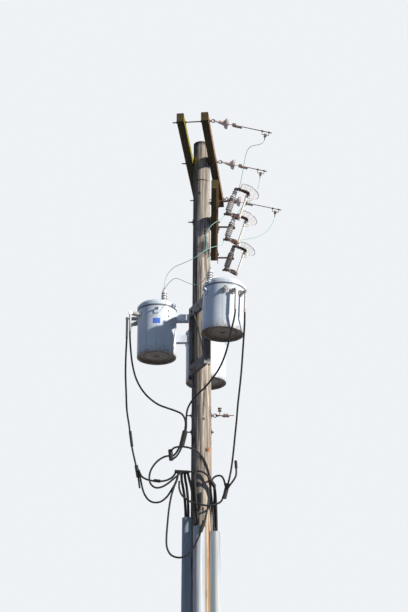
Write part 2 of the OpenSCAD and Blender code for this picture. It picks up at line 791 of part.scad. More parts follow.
// An upright channel, its back at x = 0, open side towards -X
module column(z0, z1) {
    translate([0, 0, z0]) linear_extrude(z1 - z0) difference() {
        translate([-channel_t, -channel_w / 2]) square([channel_t, channel_w]);
        translate([-channel_t - past, -channel_w / 2 + channel_wall])
            square([channel_t - channel_wall + past, channel_w - 2 * channel_wall]);
    }
    for (z = [hanger_low, hanger_high]) translate([-channel_wall + 1, 0, z])
        rotate([0, -90, 0]) cylinder(d = nut_w / cos(30), h = nut_t, $fn = 6);
}

// A level channel along X from a to b, on its side
module level_channel(a, b) {
    translate([a, 0, 0]) rotate([90, 0, 90]) linear_extrude(b - a) difference() {
        translate([-channel_t / 2, -arm_h / 2]) square([channel_t, arm_h]);
        translate([-channel_t / 2 + channel_wall, -arm_h / 2 + channel_wall])
            square([channel_t, arm_h - 2 * channel_wall]);
    }
}

module bracket_left() {
    color(galvanised) {
        mirror([1, 0, 0]) translate([left_face, 0, 0]) column(bracket_z0, bracket_z1);
    }
}

// One wing: two level arms that pass the pole on one side and carry an upright channel
module wing(side, column_at, face_turn) {
    reach = norm(column_at);
    turn = atan2(column_at[1], column_at[0]) - side * asin(wing_offset / reach);
    run = sqrt(reach * reach - wing_offset * wing_offset);
    corner = [channel_t - left_face, side * channel_w / 2];
    start = corner * [cos(turn), sin(turn)] + seat;
    web_mid = channel_t / 2 - channel_wall / 2;
    for (z = [lower_arm_z, upper_arm_z]) translate([0, 0, z]) rotate([0, 0, turn])
        translate([0, side * wing_offset, 0]) level_channel(start, run + web_mid);
    translate([column_at[0], column_at[1], 0]) rotate([0, 0, face_turn])
        translate([channel_t / 2, 0, 0]) column(bracket_z0, bracket_z1);
    outer = side * (wing_offset + channel_t / 2);
    web_face = side < 0 ? outer : wing_offset - channel_t / 2 + channel_wall;
    rotate([0, 0, turn]) {
        for (z = [lower_arm_z, upper_arm_z]) translate([start + 60, web_face - side, z])
            rotate([-side * 90, 0, 0]) cylinder(d = nut_w / cos(30), h = nut_t, $fn = 6);
        translate([0, outer + side * (brace_t / 2 - 1), 0])
            brace([run * 0.3, upper_arm_z - arm_h / 2 + 20], [run - 8, lower_arm_z + 60]);
    }
}

brace_w = 22;
brace_t = 8;

// A flat diagonal bar in the X and Z plane from a to b
module brace(a, b) {
    v = b - a;
    translate([a[0], 0, a[1]]) rotate([0, -atan2(v[1], v[0]), 0])
        translate([-20, -brace_t / 2, -brace_w / 2]) cube([norm(v) + 40, brace_t, brace_w]);
}

module bracket_front() {
    color(galvanised) wing(-1, front_column_at, front_turn + 180);
}

module bracket_back() {
    color(galvanised) wing(1, back_column_at, back_turn + 180);
}

// Neutral dead end: an eye bolt through the pole, a spool and a clamp

module neutral_deadend() {
    edge = pole_r(neutral_z) + seat;
    wire_x = edge + 26 + 2 * eye_r;
    color(galvanised) {
        translate([0, 0, neutral_z]) {
            rod_x(-edge - washer_t - stub, edge + 29, arm_bolt_d);
            nut_and_washer(-edge - 1, -1);
            nut_and_washer(edge + 1, 1);
            translate([edge + 26 + eye_r, 0, 0]) eye_ring();
            translate([wire_x + link_x, 0, 0])
                rotate_extrude() translate([link_r, 0]) circle(r = eye_wire);
            translate([wire_x, 0, 0]) rod_x(rod_start, rod_start + 52, 14);
            translate([wire_x + rod_start + 40, 0, 0]) neutral_clamp();
            translate([wire_x + rod_start + 4, -5, 0]) cube([10, 10, 62]);
            translate([wire_x + rod_start + 9, 0, 58]) neutral_spool();
        }
        translate([0, 0, lower_bolt_z]) {
            rod_x(-edge - washer_t - stub, edge + washer_t + nut_t + 10, arm_bolt_d);
            nut_and_washer(-edge - 1, -1);
            nut_and_washer(edge + 1, 1);
        }
    }
}

// A small straight-line clamp with its keeper bolts and the neutral's tail
module neutral_clamp() {
    translate([0, -14, -17]) cube([92, 28, 20]);
    translate([14, -11, 3]) cube([62, 22, 12]);
    for (x = [26, 62]) translate([x, 0, -26]) cylinder(d = 10, h = 56);
    translate([0, 0, 2]) rod_x(-8, 150, 10);
}

// A small grooved spool that stands over the link
module neutral_spool() {
    rotate_extrude() polygon([[0, 0], [24, 0], [26, 6], [17, 16], [17, 26], [26, 36],
                              [24, 44], [8, 48], [0, 48]]);
}

// Cable guards
guard_turns = [182, 260, -12];

// Outline of a cable guard from its legs at x = start to its round front
module guard_outline(w, inset, start) {
    r = w / 2 - inset;
    intersection() {
        union() {
            translate([guard_depth - w / 2, 0]) circle(r = r);
            translate([start, -r]) square([guard_depth - w / 2 - start, 2 * r]);
        }
        translate([start, -w]) square([2 * guard_depth, 2 * w]);
    }
}

// Where a guard's legs meet the pole at a height
function leg_seat(w, z) = sqrt(pow(pole_r(z) + seat, 2) - pow(w / 2 - guard_wall, 2));

// A guard stands on the pole's surface and follows its taper up
module cable_guard(i) {
    w = guard_widths[i];
    top = guard_tops[i];
    taper = atan((leg_seat(w, 0) - leg_seat(w, top)) / top);
    color("#b9bdc2") rotate([0, 0, guard_turns[i]])
        translate([leg_seat(w, 0), 0, 1]) rotate([0, -taper, 0])
            linear_extrude(top - 1) difference() {
                guard_outline(w, 0, 0);
                guard_outline(w, guard_wall, -past);
            }
}

module cable_guard_left() { cable_guard(0); }

module cable_guard_middle() { cable_guard(1); }

module cable_guard_right() { cable_guard(2); }

// A tube swept along a list of points, with a ring of n corners at each point
function unit(v) = v / norm(v);
function tangent(p, i) = unit(p[min(i + 1, len(p) - 1)] - p[max(i - 1, 0)]);
function carried(side, t) = unit(side - (side * t) * t);
function sides(p, i, side) = i == len(p) ? [] :
    let (s = carried(side, tangent(p, i))) concat([s], sides(p, i + 1, s));
function first_side(t) = abs(t[1]) < 0.8 ? [0, 1, 0] : [1, 0, 0];

module tube(p, d, n = 8) {
    s = sides(p, 0, carried(first_side(tangent(p, 0)), tangent(p, 0)));
    rings = [for (i = [0:len(p) - 1], k = [0:n - 1])
        p[i] + d / 2 * (cos(k * 360 / n) * s[i] + sin(k * 360 / n) * cross(tangent(p, i), s[i]))];
    walls = [for (i = [0:len(p) - 2], k = [0:n - 1])
        let (a = i * n + k, b = i * n + (k + 1) % n) each [[a, b + n, b], [a, a + n, b + n]]];
    first_cap = [for (k = [0:n - 1]) k];
    last_cap = [for (k = [n - 1:-1:0]) (len(p) - 1) * n + k];
    polyhedron(points = rings, faces = concat(walls, [first_cap, last_cap]));
}

line_jumper_1_route = [[818, -992, 11205], [800, -990, 11168], [755, -968, 11150],
    [695, -930, 11160], [640, -890, 11160], [600, -850, 11130], [580, -810, 11080],
    [565, -765, 11020], [550, -715, 10950], [535, -665, 10880], [520, -610, 10810],
    [503, -570, 10765], [495, -550, 10735]];
line_jumper_2_route = [[797, 71, 11218], [790, 76, 11175], [775, 88, 11100],
    [735, 107, 10995], [682, 130, 10915], [625, 155, 10865], [568, 178, 10828],
    [525, 192, 10800], [501, 199, 10770], [495, 200, 10735]];
line_jumper_3_route = [[1047, 1182, 11200], [1038, 1180, 11150], [1000, 1165, 11055],
    [935, 1145, 10950], [845, 1115, 10870], [745, 1080, 10810], [640, 1045, 10775],
    [560, 1020, 10745], [520, 1007, 10717], [500, 1001, 10688], [495, 1000, 10655]];
hv_lead_front_route = [[299, -550, 10338], [290, -555, 10305], [262, -575, 10262],
    [190, -610, 10205], [115, -645, 10120], [70, -675, 10005], [62, -700, 9840],
    [78, -725, 9670], [105, -748, 9545], [115, -760, 9490]];
hv_lead_left_route = [[299, 200, 10338], [292, 190, 10300], [270, 120, 10225],
    [165, -60, 10115], [60, -160, 10020], [-35, -195, 9930], [-120, -185, 9875],
    [-230, -140, 9840], [-350, -70, 9815], [-435, -25, 9750], [-478, -5, 9650],
    [-489, 0, 9545]];
hv_tie_route = [[-486, -8, 9528], [-465, -30, 9545], [-420, -75, 9590], [-345, -150, 9610],
    [-255, -260, 9535], [-175, -360, 9450], [-80, -470, 9375], [0, -590, 9350],
    [60, -690, 9385], [95, -740, 9440], [110, -756, 9472]];
cable_left_outer_route = [[-970, 0, 8845], [-970, 0, 8780], [-975, -5, 8570],
    [-973, -12, 8320], [-960, -20, 8075], [-945, -32, 7830], [-910, -45, 7610],
    [-885, -60, 7420], [-855, -75, 7260], [-820, -90, 7110], [-785, -105, 6950],
    [-760, -120, 6780]];
cable_left_inner_route = [[-918, -196, 8845], [-918, -196, 8780], [-907, -195, 8620],
    [-882, -190, 8410], [-838, -185, 8225], [-775, -185, 8085], [-700, -185, 7980],
    [-618, -190, 7900], [-533, -195, 7840], [-430, -205, 7795], [-330, -215, 7755],
    [-240, -220, 7705], [-200, -220, 7615], [-205, -215, 7500], [-240, -210, 7360],
    [-290, -205, 7245], [-325, -207, 7190], [-358, -212, 7160]];
cable_front_left_route = [[416, -1113, 8765], [414, -1113, 8720], [400, -1095, 8630],
    [372, -1060, 8520], [338, -1000, 8380], [300, -930, 8255], [255, -850, 8155],
    [195, -760, 8070], [130, -670, 8010], [60, -580, 7950], [-15, -490, 7905],
    [-85, -410, 7860], [-140, -340, 7805], [-175, -290, 7740], [-188, -265, 7640],
    [-188, -255, 7525], [-210, -250, 7385], [-250, -245, 7255], [-300, -240, 7160],
    [-355, -240, 7115]];
cable_front_right_route = [[534, -1022, 8760], [533, -1020, 8710], [530, -960, 8580],
    [518, -880, 8415], [505, -790, 8240], [490, -700, 8060], [470, -610, 7885],
    [450, -530, 7720], [435, -450, 7550], [415, -370, 7370], [395, -300, 7185],
    [370, -240, 7000], [340, -210, 6855], [305, -200, 6730]];
cable_loop_riser_route = [[-375, -235, 7222], [-345, -272, 7243], [-300, -290, 7255],
    [-205, -288, 7257], [-105, -262, 7238], [-25, -238, 7188], [35, -220, 7110],
    [75, -200, 7015], [100, -172, 6905], [115, -140, 6775], [130, -110, 6630],
    [145, -85, 6460], [150, -70, 6265], [155, -60, 6080]];
cable_loop_left_route = [[-392, -232, 7158], [-440, -240, 7150], [-505, -246, 7115],
    [-568, -250, 7055], [-620, -250, 6970], [-638, -250, 6880], [-622, -248, 6800],
    [-565, -246, 6750], [-490, -246, 6755], [-410, -248, 6800], [-340, -250, 6860],
    [-290, -246, 6905], [-250, -220, 6945]];
cable_branch_upper_route = [[-775, -130, 7010], [-748, -140, 6940], [-710, -150, 6900],
    [-645, -160, 6870], [-545, -175, 6850], [-445, -185, 6855], [-365, -195, 6890],
    [-320, -200, 6945]];
cable_branch_lower_route = [[-762, -85, 6960], [-738, -110, 6830], [-705, -140, 6710],
    [-650, -165, 6620], [-580, -182, 6580], [-495, -185, 6590], [-420, -178, 6655],
    [-365, -168, 6745], [-322, -168, 6825], [-295, -176, 6900], [-285, -190, 6945]];
cable_loop_under_route = [[270, -205, 6655], [245, -210, 6590], [190, -225, 6550],
    [105, -240, 6525], [10, -250, 6530], [-90, -250, 6555], [-175, -250, 6595],
    [-240, -245, 6660], [-270, -240, 6745], [-270, -235, 6835]];
cable_drop_loop_route = [[-285, -218, 6945], [-298, -212, 6860], [-335, -215, 6765],
    [-370, -220, 6635], [-395, -225, 6475], [-410, -230, 6295], [-420, -235, 6135],
    [-415, -240, 6015], [-375, -245, 5925], [-310, -250, 5885], [-235, -255, 5880],
    [-165, -260, 5910], [-100, -264, 5985], [-45, -266, 6095], [5, -266, 6220],
    [42, -258, 6320], [64, -232, 6430], [80, -205, 6530], [88, -195, 6640],
    [84, -190, 6765]];
cable_loop_right_route = [[130, -175, 6865], [160, -170, 6905], [205, -165, 6925],
    [250, -170, 6915], [280, -180, 6860], [295, -190, 6785]];
cable_tap_right_route = [[425, -238, 7055], [430, -242, 6975], [425, -250, 6900],
    [395, -255, 6840], [358, -250, 6790], [322, -236, 6740]];
cable_cross_route = [[-190, -224, 6950], [-140, -230, 6955], [-65, -222, 6965],
    [10, -215, 6960], [70, -205, 6920], [105, -190, 6855]];
riser_routes = [
    [[-160, -22, 6120], [-160, -22, 6430], [-162, -40, 6560], [-168, -75, 6680],
     [-180, -115, 6790], [-198, -152, 6880], [-205, -192, 6945]],
    [[-193, -5, 6120], [-193, -5, 6430], [-198, -25, 6580], [-210, -70, 6700],
     [-228, -115, 6800], [-243, -152, 6880], [-243, -186, 6945]],
    [[-76, -168, 5980], [-76, -168, 6280], [-82, -172, 6450], [-100, -176, 6620],
     [-125, -178, 6780], [-148, -180, 6870], [-165, -192, 6945]],
    [[-41, -175, 5980], [-41, -175, 6280], [-52, -182, 6450], [-68, -192, 6620],
     [-80, -200, 6780], [-88, -208, 6905]],
    [[152, -12, 5980], [152, -12, 6250], [154, -25, 6400], [160, -60, 6560],
     [165, -105, 6700], [158, -142, 6800]],
    [[186, -30, 5980], [186, -30, 6250], [184, -45, 6400], [180, -80, 6560],
     [172, -120, 6700], [160, -150, 6800]]];

module line_jumper_1() { color(copper_green) tube(line_jumper_1_route, lead_d); }

module line_jumper_2() { color(copper_green) tube(line_jumper_2_route, lead_d); }

module line_jumper_3() { color(copper_green) tube(line_jumper_3_route, lead_d); }

module hv_lead_front() { color(copper_green) tube(hv_lead_front_route, lead_d); }

module hv_lead_left() { color(copper_green) tube(hv_lead_left_route, lead_d); }

module hv_tie() { color(copper_green) tube(hv_tie_route, lead_d); }

module cable_left_outer() { color(cable_black) tube(cable_left_outer_route, cable_d); }

module cable_left_inner() { color(cable_black) tube(cable_left_inner_route, cable_d); }

module cable_front_left() { color(cable_black) tube(cable_front_left_route, cable_d); }

module cable_front_right() { color(cable_black) tube(cable_front_right_route, cable_d); }

module cable_loop_riser() { color(cable_black) tube(cable_loop_riser_route, cable_d); }

module cable_loop_left() { color(cable_black) tube(cable_loop_left_route, cable_d); }

module cable_branch_upper() { color(cable_black) tube(cable_branch_upper_route, cable_d); }

module cable_branch_lower() { color(cable_black) tube(cable_branch_lower_route, cable_d); }

module cable_loop_under() { color(cable_black) tube(cable_loop_under_route, cable_d); }

module cable_drop_loop() { color(cable_black) tube(cable_drop_loop_route, cable_d); }

module cable_loop_right() { color(cable_black) tube(cable_loop_right_route, cable_d); }

module cable_tap_right() { color(cable_black) tube(cable_tap_right_route, cable_d); }

module cable_cross() { color(cable_black) tube(cable_cross_route, cable_d); }

// Cables that run down into the cable guards
module riser_cables() {
    color(cable_black) for (route = riser_routes) tube(route, riser_d);
}

// Connectors and sleeves on the cables: first end, second end and diameter of each
connectors = [
    [[-808, -95, 7075], [-782, -108, 6925], 46],
    [[-897, -52, 7540], [-868, -68, 7335], 36],
    [[-585, -168, 6862], [-505, -180, 6850], 40],
    [[-201, -233, 7480], [-245, -226, 7290], 66],
    [[-385, -222, 7240], [-370, -225, 7105], 56],
    [[325, -203, 6810], [280, -203, 6625], 54],
    [[424, -237, 7095], [430, -235, 7000], 36],
    [[-5, -265, 6195], [35, -259, 6325], 44],
    [[-330, -205, 6965], [-150, -205, 6955], 46],
    [[-70, -218, 6990], [-95, -208, 6880], 46],
    [[100, -180, 6880], [165, -150, 6790], 50]];

module rod_between(a, b, d) {
    v = b - a;
    translate(a) rotate([0, acos(v[2] / norm(v)), atan2(v[1], v[0])])
        cylinder(d = d, h = norm(v));
}

module cable_connectors() {
    color(cable_black) for (c = connectors) rod_between(c[0], c[1], c[2]);
}

pole();
crossarm_left();
crossarm_right();
crossarm_bolts();
equipment_arm();
equipment_arm_bolts();
deadend_insulators();
deadend_clamps();
for (k = [0:2])
    cutout_insulator(k);
for (k = [0:2])
    cutout_frame(k);
for (k = [0:2])
    fuse_holder(k);
cutout_guards();
tank_left();
lid_left();
bushings_left();
bracket_left();
tank_front();
lid_front();
bushings_front();
bracket_front();
tank_back();
lid_back();
bushings_back();
bracket_back();
neutral_deadend();
cable_guard_left();
cable_guard_middle();
cable_guard_right();
riser_cables();
cable_connectors();
line_jumper_1();
line_jumper_2();
line_jumper_3();
hv_lead_front();
hv_lead_left();
hv_tie();
cable_left_outer();
cable_left_inner();
cable_front_left();
cable_front_right();
cable_loop_riser();
cable_loop_left();
cable_branch_upper();
cable_branch_lower();
cable_loop_under();
cable_drop_loop();
cable_loop_right();
cable_tap_right();
cable_cross();
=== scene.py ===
"""Looks of the pole mounted transformer bank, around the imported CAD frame. Metres, +Z up."""
import itertools
import json
import math
import bpy
from mathutils import Matrix, Vector


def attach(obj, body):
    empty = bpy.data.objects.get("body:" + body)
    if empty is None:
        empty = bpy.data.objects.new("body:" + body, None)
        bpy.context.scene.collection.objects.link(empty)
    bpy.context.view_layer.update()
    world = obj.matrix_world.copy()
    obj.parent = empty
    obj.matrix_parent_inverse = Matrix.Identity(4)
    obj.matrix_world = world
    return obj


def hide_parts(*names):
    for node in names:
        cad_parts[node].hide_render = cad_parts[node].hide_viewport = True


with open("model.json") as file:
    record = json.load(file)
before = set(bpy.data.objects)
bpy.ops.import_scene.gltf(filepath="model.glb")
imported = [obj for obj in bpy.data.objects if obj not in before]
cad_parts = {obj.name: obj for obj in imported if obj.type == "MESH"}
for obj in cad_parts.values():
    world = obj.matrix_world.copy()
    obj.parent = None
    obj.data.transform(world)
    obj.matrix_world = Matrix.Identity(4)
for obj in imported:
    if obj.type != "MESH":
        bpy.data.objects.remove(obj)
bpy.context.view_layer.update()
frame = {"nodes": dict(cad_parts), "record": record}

scene = bpy.context.scene
nodes = frame["nodes"]

# Camera: the photograph's eye point below the bank, with its long side of 612 px
PHOTO_LONG_SIDE = 612
FOCAL_PX = 1450
EYE = (0.033, -17.4, 1.68)
PITCH_UP = 23.6
camera_data = bpy.data.cameras.new("photo_camera")
camera_data.sensor_width = 36
camera_data.lens = FOCAL_PX / PHOTO_LONG_SIDE * camera_data.sensor_width
camera_data.clip_end = 200
camera = bpy.data.objects.new("photo_camera", camera_data)
camera.location = EYE
camera.rotation_euler = (math.radians(90 + PITCH_UP), 0, 0)
scene.collection.objects.link(camera)
scene.camera = camera


# Cords: diameters in metres, then each cord's length in metres and its centre line in mm
LEAD_D = 0.007
CABLE_D = 0.024
RISER_D = 0.034
LEADS = {
    "line_jumper_1": (0.81, [[818, -992, 11205], [800, -990, 11168], [755, -968, 11150],
        [695, -930, 11160], [640, -890, 11160], [600, -850, 11130], [580, -810, 11080],
        [565, -765, 11020], [550, -715, 10950], [535, -665, 10880], [520, -610, 10810],
        [503, -570, 10765], [495, -550, 10735]]),
    "line_jumper_2": (0.61, [[797, 71, 11218], [790, 76, 11175], [775, 88, 11100],
        [735, 107, 10995], [682, 130, 10915], [625, 155, 10865], [568, 178, 10828],
        [525, 192, 10800], [501, 199, 10770], [495, 200, 10735]]),
    "line_jumper_3": (0.85, [[1047, 1182, 11200], [1038, 1180, 11150], [1000, 1165, 11055],
        [935, 1145, 10950], [845, 1115, 10870], [745, 1080, 10810], [640, 1045, 10775],
        [560, 1020, 10745], [520, 1007, 10717], [500, 1001, 10688], [495, 1000, 10655]]),
    "hv_lead_front": (0.96, [[299, -550, 10338], [290, -555, 10305], [262, -575, 10262],
        [190, -610, 10205], [115, -645, 10120], [70, -675, 10005], [62, -700, 9840],
        [78, -725, 9670], [105, -748, 9545], [115, -760, 9490]]),
    "hv_lead_left": (1.40, [[299, 200, 10338], [292, 190, 10300], [270, 120, 10225],
        [165, -60, 10115], [60, -160, 10020], [-35, -195, 9930], [-120, -185, 9875],
        [-230, -140, 9840], [-350, -70, 9815], [-435, -25, 9750], [-478, -5, 9650],
        [-489, 0, 9545]]),
    "hv_tie": (1.09, [[-486, -8, 9528], [-465, -30, 9545], [-420, -75, 9590], [-345, -150, 9610],
        [-255, -260, 9535], [-175, -360, 9450], [-80, -470, 9375], [0, -590, 9350],
        [60, -690, 9385], [95, -740, 9440], [110, -756, 9472]]),
}
CABLES = {
    "cable_left_outer": (2.09, [[-970, 0, 8845], [-970, 0, 8780], [-975, -5, 8570],
        [-973, -12, 8320], [-960, -20, 8075], [-945, -32, 7830], [-910, -45, 7610],
        [-885, -60, 7420], [-855, -75, 7260], [-820, -90, 7110], [-785, -105, 6950],
        [-760, -120, 6780]]),
    "cable_left_inner": (2.05, [[-918, -196, 8845], [-918, -196, 8780], [-907, -195, 8620],
        [-882, -190, 8410], [-838, -185, 8225], [-775, -185, 8085], [-700, -185, 7980],
        [-618, -190, 7900], [-533, -195, 7840], [-430, -205, 7795], [-330, -215, 7755],
        [-240, -220, 7705], [-200, -220, 7615], [-205, -215, 7500], [-240, -210, 7360],
        [-290, -205, 7245], [-325, -207, 7190], [-358, -212, 7160]]),
    "cable_front_left": (2.20, [[416, -1113, 8765], [414, -1113, 8720], [400, -1095, 8630],
        [372, -1060, 8520], [338, -1000, 8380], [300, -930, 8255], [255, -850, 8155],
        [195, -760, 8070], [130, -670, 8010], [60, -580, 7950], [-15, -490, 7905],
        [-85, -410, 7860], [-140, -340, 7805], [-175, -290, 7740], [-188, -265, 7640],
        [-188, -255, 7525], [-210, -250, 7385], [-250, -245, 7255], [-300, -240, 7160],
        [-355, -240, 7115]]),
    "cable_front_right": (2.22, [[534, -1022, 8760], [533, -1020, 8710], [530, -960, 8580],
        [518, -880, 8415], [505, -790, 8240], [490, -700, 8060], [470, -610, 7885],
        [450, -530, 7720], [435, -450, 7550], [415, -370, 7370], [395, -300, 7185],
        [370, -240, 7000], [340, -210, 6855], [305, -200, 6730]]),
    "cable_loop_riser": (1.56, [[-375, -235, 7222], [-345, -272, 7243], [-300, -290, 7255],
        [-205, -288, 7257], [-105, -262, 7238], [-25, -238, 7188], [35, -220, 7110],
        [75, -200, 7015], [100, -172, 6905], [115, -140, 6775], [130, -110, 6630],
        [145, -85, 6460], [150, -70, 6265], [155, -60, 6080]]),
    "cable_loop_left": (0.95, [[-392, -232, 7158], [-440, -240, 7150], [-505, -246, 7115],
        [-568, -250, 7055], [-620, -250, 6970], [-638, -250, 6880], [-622, -248, 6800],
        [-565, -246, 6750], [-490, -246, 6755], [-410, -248, 6800], [-340, -250, 6860],
        [-290, -246, 6905], [-250, -220, 6945]]),
    "cable_branch_upper": (0.57, [[-775, -130, 7010], [-748, -140, 6940], [-710, -150, 6900],
        [-645, -160, 6870], [-545, -175, 6850], [-445, -185, 6855], [-365, -195, 6890],
        [-320, -200, 6945]]),
    "cable_branch_lower": (0.97, [[-762, -85, 6960], [-738, -110, 6830], [-705, -140, 6710],
        [-650, -165, 6620], [-580, -182, 6580], [-495, -185, 6590], [-420, -178, 6655],
        [-365, -168, 6745], [-322, -168, 6825], [-295, -176, 6900], [-285, -190, 6945]]),
    "cable_loop_under": (0.80, [[270, -205, 6655], [245, -210, 6590], [190, -225, 6550],
        [105, -240, 6525], [10, -250, 6530], [-90, -250, 6555], [-175, -250, 6595],
        [-240, -245, 6660], [-270, -240, 6745], [-270, -235, 6835]]),
    "cable_drop_loop": (2.20, [[-285, -218, 6945], [-298, -212, 6860], [-335, -215, 6765],
        [-370, -220, 6635], [-395, -225, 6475], [-410, -230, 6295], [-420, -235, 6135],
        [-415, -240, 6015], [-375, -245, 5925], [-310, -250, 5885], [-235, -255, 5880],
        [-165, -260, 5910], [-100, -264, 5985], [-45, -266, 6095], [5, -266, 6220],
        [42, -258, 6320], [64, -232, 6430], [80, -205, 6530], [88, -195, 6640], [84, -190, 6765]]),
    "cable_loop_right": (0.29, [[130, -175, 6865], [160, -170, 6905], [205, -165, 6925],
        [250, -170, 6915], [280, -180, 6860], [295, -190, 6785]]),
    "cable_tap_right": (0.35, [[425, -238, 7055], [430, -242, 6975], [425, -250, 6900],
        [395, -255, 6840], [358, -250, 6790], [322, -236, 6740]]),
    "cable_cross": (0.35, [[-190, -224, 6950], [-140, -230, 6955], [-65, -222, 6965],
        [10, -215, 6960], [70, -205, 6920], [105, -190, 6855]]),
}
RISERS = [
    [[-160, -22, 6120], [-160, -22, 6430], [-162, -40, 6560], [-168, -75, 6680],
     [-180, -115, 6790], [-198, -152, 6880], [-205, -192, 6945]],
    [[-193, -5, 6120], [-193, -5, 6430], [-198, -25, 6580], [-210, -70, 6700],
     [-228, -115, 6800], [-243, -152, 6880], [-243, -186, 6945]],
    [[-76, -168, 5980], [-76, -168, 6280], [-82, -172, 6450], [-100, -176, 6620],
     [-125, -178, 6780], [-148, -180, 6870], [-165, -192, 6945]],
    [[-41, -175, 5980], [-41, -175, 6280], [-52, -182, 6450], [-68, -192, 6620],
     [-80, -200, 6780], [-88, -208, 6905]],
    [[152, -12, 5980], [152, -12, 6250], [154, -25, 6400], [160, -60, 6560], [165, -105, 6700],
     [158, -142, 6800]],
    [[186, -30, 5980], [186, -30, 6250], [184, -45, 6400], [180, -80, 6560], [172, -120, 6700],
     [160, -150, 6800]]]


def smooth_line(places, steps=6):
    """Points in metres along a smooth curve through places in mm."""
    places = [Vector(place) / 1000 for place in places]
    line = []
    for i in range(len(places) - 1):
        before, a = places[max(i - 1, 0)], places[i]
        b, after = places[i + 1], places[min(i + 2, len(places) - 1)]
        for k in range(steps):
            t = k / steps
            line.append(0.5 * (2 * a + (b - before) * t
                + (2 * before - 5 * a + 4 * b - after) * t ** 2
                + (3 * a - before - 3 * b + after) * t ** 3))
    return line + [places[-1]]


class Shape:
    """Collects vertices and faces of one piece, in metres."""

    def __init__(self):
        self.places = []
        self.faces = []

    def tube(self, line, radius, sides=12):
        """A closed tube along the points of line; radius is a number or one per point."""
        start = len(self.places)
        side = Vector((0.3, 1, 0.2))
        for i, place in enumerate(line):
            along = (line[min(i + 1, len(line) - 1)] - line[max(i - 1, 0)]).normalized()
            side = (side - side.dot(along) * along).normalized()
            other = along.cross(side)
            r = radius[i] if isinstance(radius, (list, tuple)) else radius
            for k in range(sides):
                turn = 2 * math.pi * k / sides
                self.places.append(place + r * (math.cos(turn) * side + math.sin(turn) * other))
        for i in range(len(line) - 1):
            for k in range(sides):
                a = start + i * sides + k
                b = start + i * sides + (k + 1) % sides
                self.faces.append((a, b, b + sides, a + sides))
        self.faces.append(tuple(start + k for k in reversed(range(sides))))
        self.faces.append(tuple(start + (len(line) - 1) * sides + k for k in range(sides)))

    def build(self, name, smooth=True):
        mesh = bpy.data.meshes.new(name)
        mesh.from_pydata(self.places, [], self.faces)
        mesh.validate()
        if smooth:
            mesh.shade_smooth()
        obj = bpy.data.objects.new(name, mesh)
        scene.collection.objects.link(obj)
        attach(obj, "root")
        return obj


def sweep_cords(routes, diameter):
    """One tube for each cord, in the place of its node."""
    made = []
    for node, (length, places) in routes.items():
        line = smooth_line(places)
        shape = Shape()
        shape.tube(line, diameter / 2)
        obj = shape.build(node + "_run")
        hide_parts(node)
        made.append(obj)
    return made


leads = sweep_cords(LEADS, LEAD_D)
cables = sweep_cords(CABLES, CABLE_D)
riser_shape = Shape()
for places in RISERS:
    riser_shape.tube(smooth_line(places), RISER_D / 2)
risers = riser_shape.build("riser_cables_run")
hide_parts("riser_cables")
cables.append(risers)


# Materials
def tone(r, g, b):
    """A colour written as the eye sees it, 0 to 255, for a shader."""
    def linear(v):
        v /= 255
        return v / 12.92 if v <= 0.04045 else ((v + 0.055) / 1.055) ** 2.4
    return (linear(r), linear(g), linear(b), 1)


